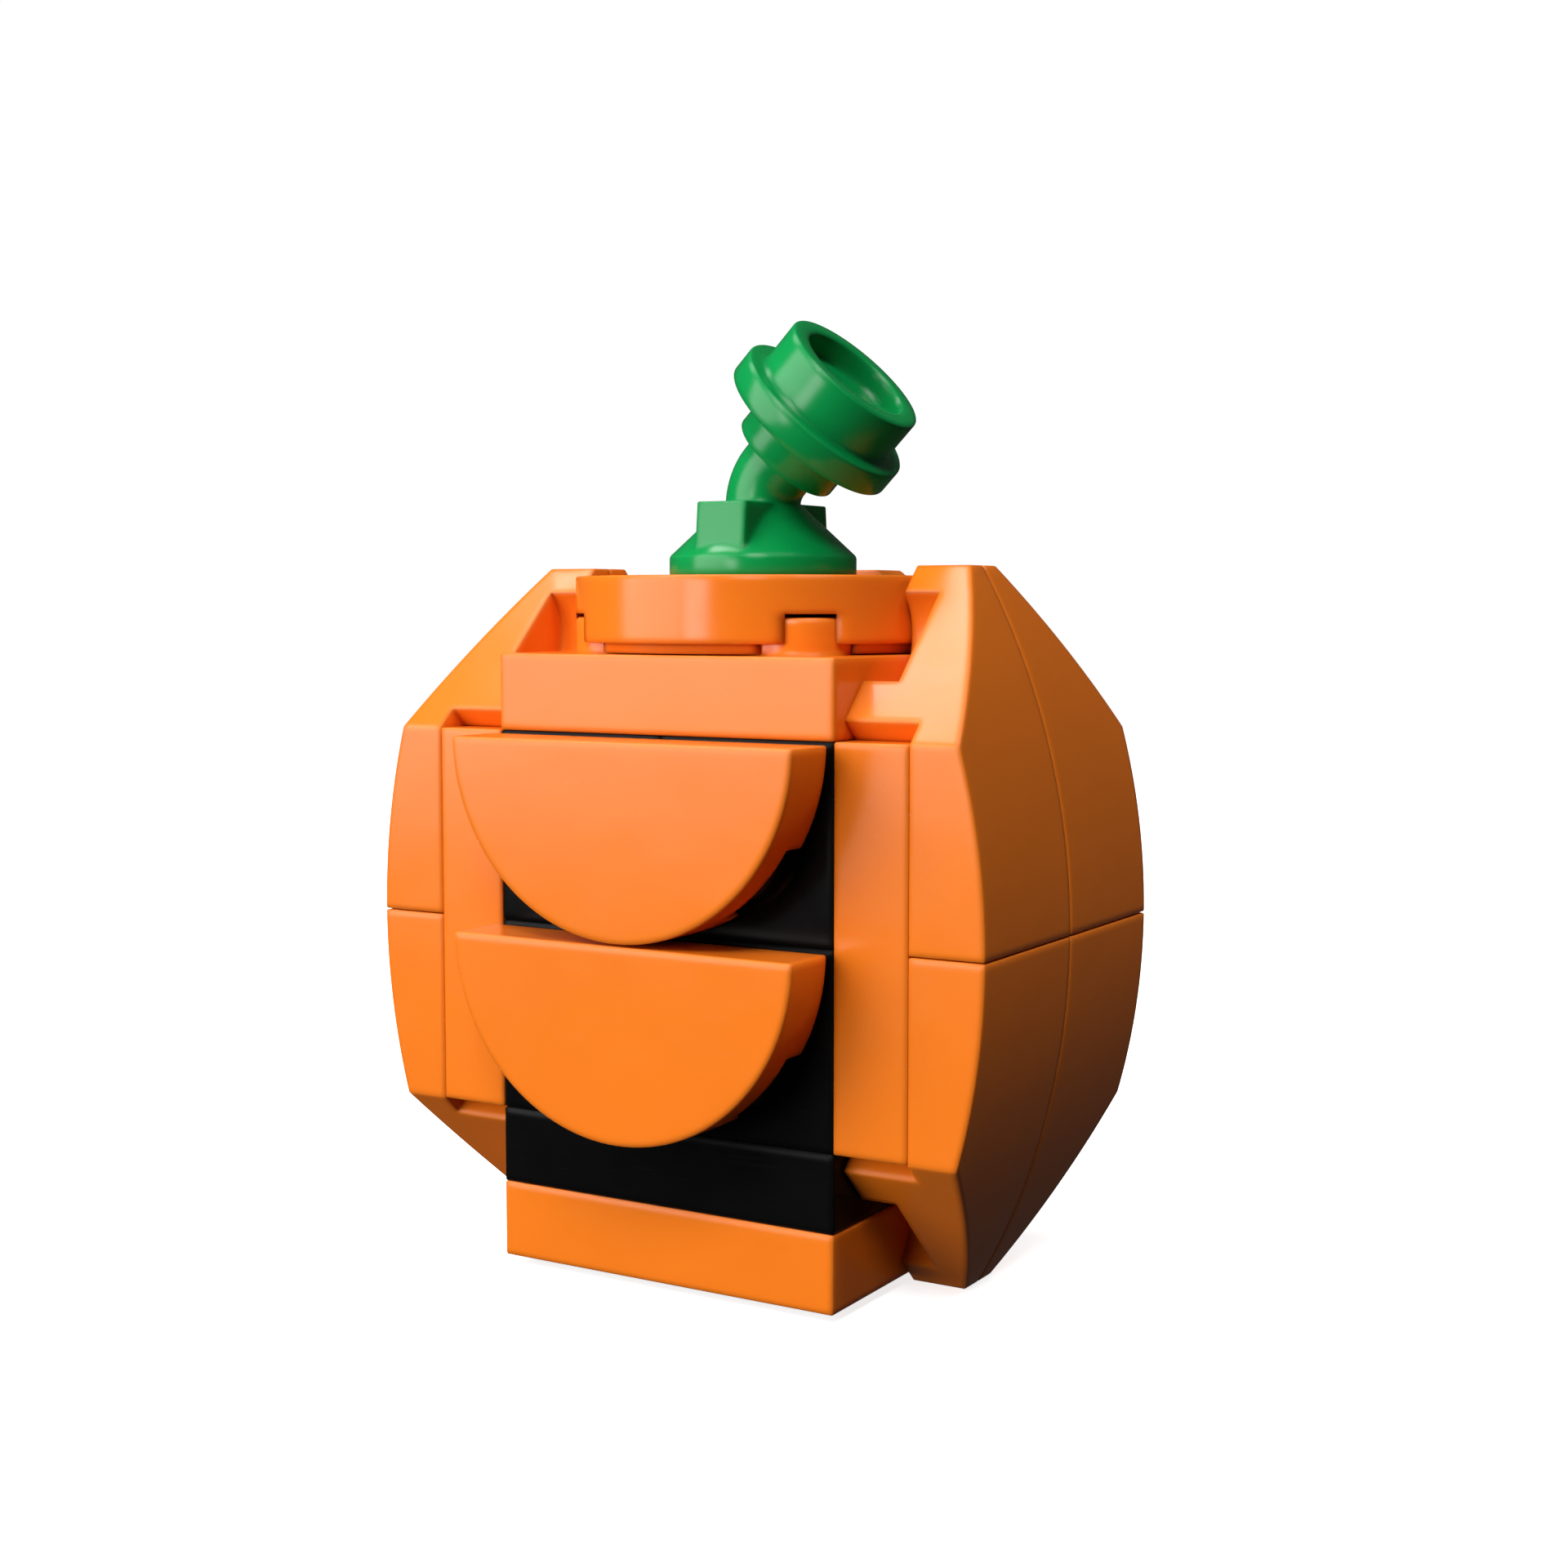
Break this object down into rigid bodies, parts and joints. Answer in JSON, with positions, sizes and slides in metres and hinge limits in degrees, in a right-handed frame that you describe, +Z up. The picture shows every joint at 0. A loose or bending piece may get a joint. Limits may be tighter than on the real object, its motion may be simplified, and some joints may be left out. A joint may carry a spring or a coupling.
{
  "type": "toy brick pumpkin lantern",
  "caption": "Toy pumpkin lantern of interlocking plastic bricks: curved orange side panels, a black face with two half-round teeth, a round cap and a bent green stem.",
  "frame": {"origin": "middle of the bounding box's footprint, on the surface the three feet stand on", "axes": "+Z up, face towards -Y, +X to the face's right as seen from the front; the stem leans towards +X"},
  "size_m": [0.0288, 0.0256, 0.0399],
  "materials": {
    "orange_plastic": "gloss orange moulded plastic",
    "black_plastic": "gloss black moulded plastic",
    "green_plastic": "gloss green moulded plastic"
  },
  "bodies": {
    "root": {"base_plate": "orange_plastic", "lower_plate": "black_plastic", "core": "orange_plastic", "top_plate": "orange_plastic", "round_cap": "orange_plastic", "face_block_left_lower": "black_plastic", "face_block_left_upper": "black_plastic", "face_block_right_lower": "black_plastic", "face_block_right_upper": "black_plastic", "half_round_upper": "orange_plastic", "half_round_lower": "orange_plastic", "side_plate_right": "orange_plastic", "wedge_right_front_upper": "orange_plastic", "wedge_right_front_lower": "orange_plastic", "wedge_right_rear_upper": "orange_plastic", "wedge_right_rear_lower": "orange_plastic", "side_plate_back": "orange_plastic", "wedge_back_right_upper": "orange_plastic", "wedge_back_right_lower": "orange_plastic", "wedge_back_left_upper": "orange_plastic", "wedge_back_left_lower": "orange_plastic", "side_plate_left": "orange_plastic", "wedge_left_rear_upper": "orange_plastic", "wedge_left_rear_lower": "orange_plastic", "wedge_left_front_upper": "orange_plastic", "wedge_left_front_lower": "orange_plastic", "stem_tap": "green_plastic", "stem_tip": "green_plastic"}
  },
  "joints": []
}
